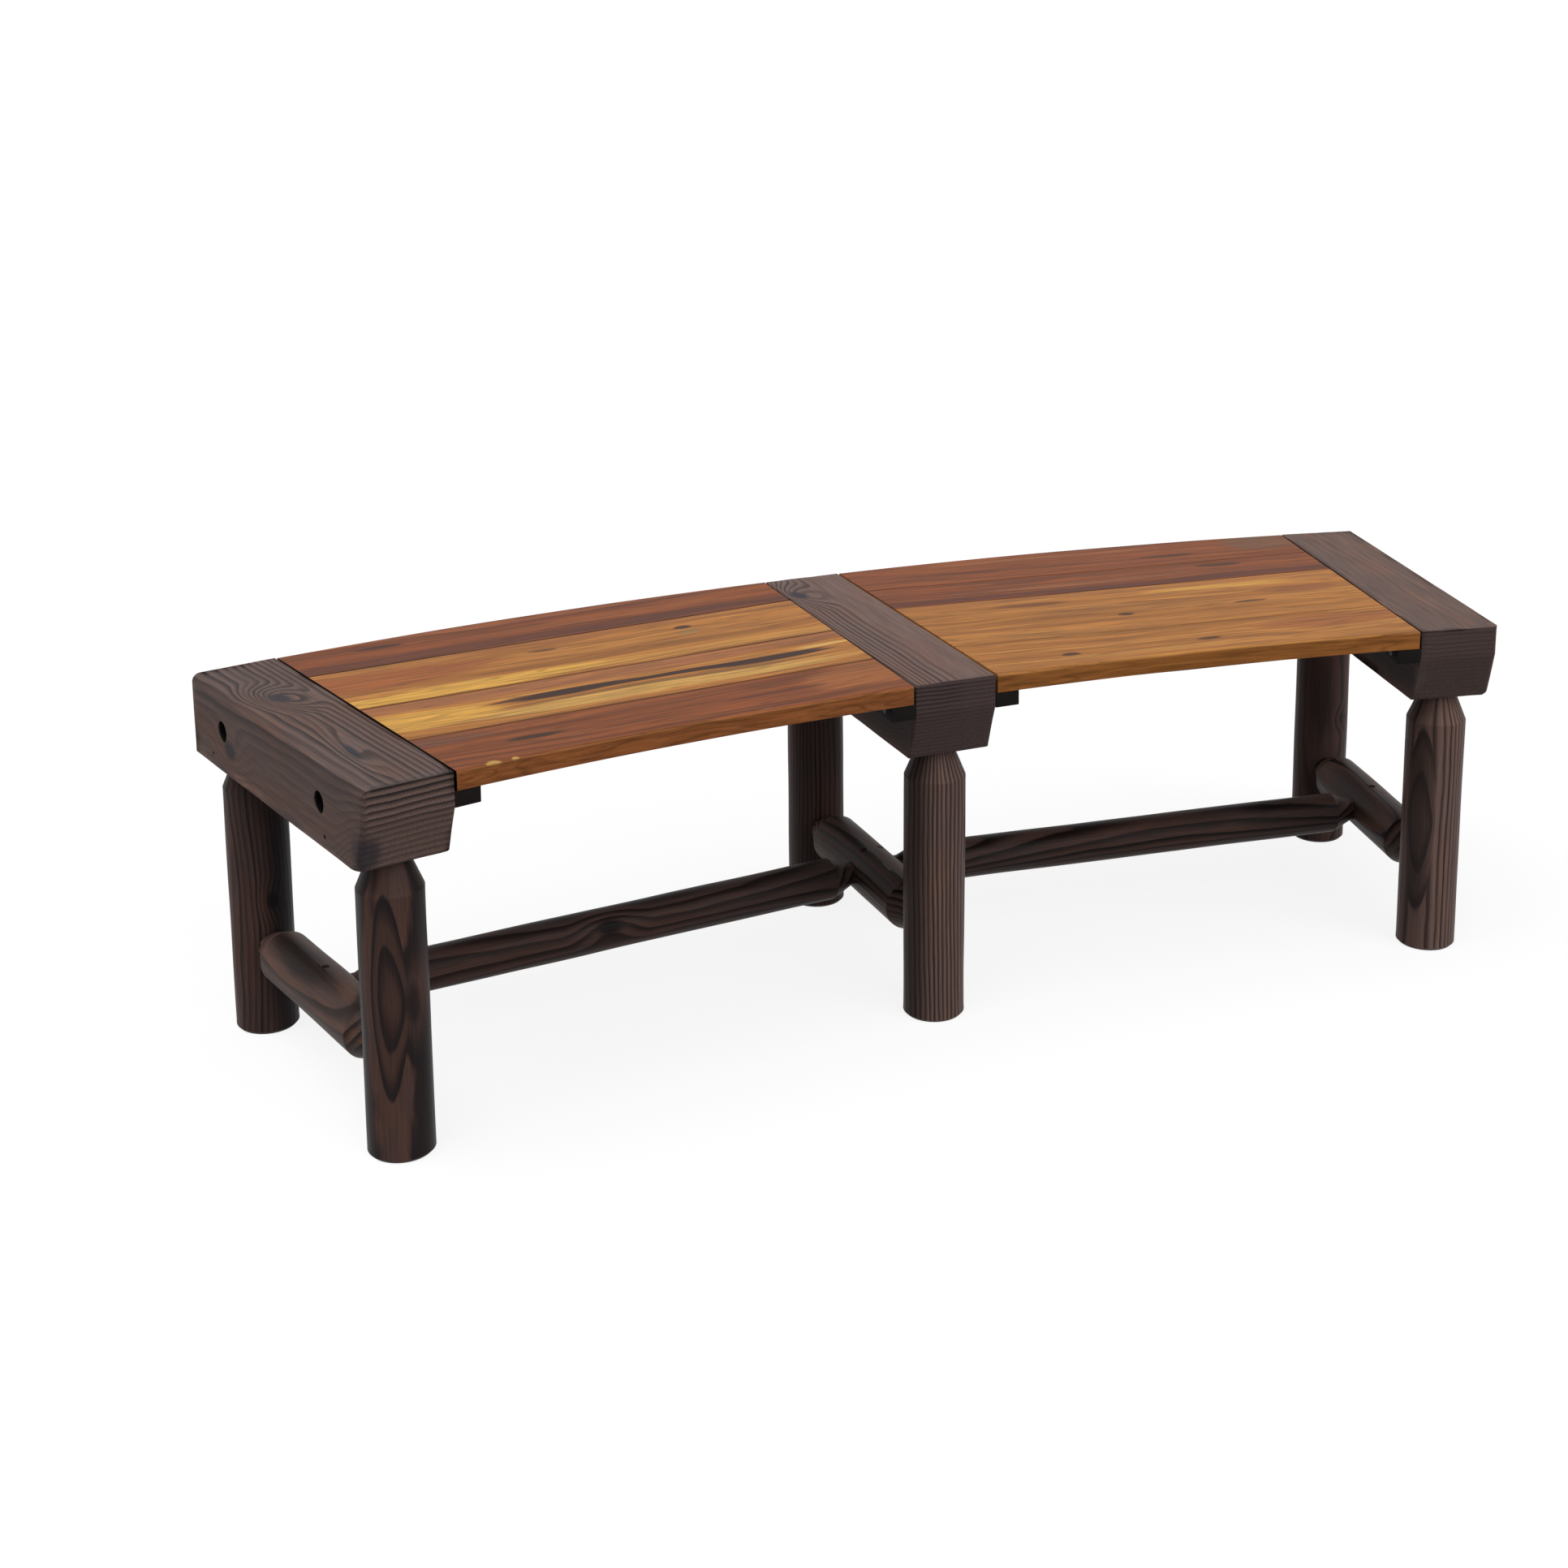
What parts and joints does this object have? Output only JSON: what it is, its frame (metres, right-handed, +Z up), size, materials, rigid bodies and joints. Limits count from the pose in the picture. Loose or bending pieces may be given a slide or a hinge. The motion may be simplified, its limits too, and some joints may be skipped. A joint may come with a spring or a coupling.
{
  "type": "curved bench",
  "caption": "Backless curved bench: oiled plank panels between dark stained cross beams on round log legs tied by low round rails.",
  "frame": {"origin": "middle of the overall box, on the floor", "axes": "+X along the bench to the sitter's left, +Y from the hollow front to the bowed rear, +Z up"},
  "size_m": [1.4792, 0.5074, 0.4],
  "materials": {
    "stained_beam": "charcoal-brown stained softwood, matt",
    "stained_log": "dark brown stained round softwood, satin",
    "seat_plank": "oiled red-brown and orange hardwood",
    "stained_batten": "dark stained sawn softwood",
    "steel_fastener": "black oxide"
  },
  "bodies": {
    "root": {"left_end_beam": "stained_beam", "middle_beam": "stained_beam", "right_end_beam": "stained_beam", "left_front_leg": "stained_log", "left_rear_leg": "stained_log", "middle_front_leg": "stained_log", "middle_rear_leg": "stained_log", "right_front_leg": "stained_log", "right_rear_leg": "stained_log", "left_cross_rail": "stained_log", "middle_cross_rail": "stained_log", "right_cross_rail": "stained_log", "left_long_rail": "stained_log", "right_long_rail": "stained_log", "left_plank_1": "seat_plank", "left_plank_2": "seat_plank", "left_plank_3": "seat_plank", "left_plank_4": "seat_plank", "right_plank_1": "seat_plank", "right_plank_2": "seat_plank", "right_plank_3": "seat_plank", "right_plank_4": "seat_plank", "left_beam_ledger": "stained_batten", "middle_beam_left_ledger": "stained_batten", "middle_beam_right_ledger": "stained_batten", "right_beam_ledger": "stained_batten", "left_front_stringer": "stained_batten", "left_rear_stringer": "stained_batten", "right_front_stringer": "stained_batten", "right_rear_stringer": "stained_batten", "panel_bolts": "steel_fastener", "panel_bolt_washers": "steel_fastener", "middle_beam_studs": "steel_fastener", "barrel_nuts": "steel_fastener", "ledger_screws": "steel_fastener", "plank_end_screws": "steel_fastener", "stringer_screws": "steel_fastener", "rail_lock_screws": "steel_fastener"}
  },
  "joints": []
}
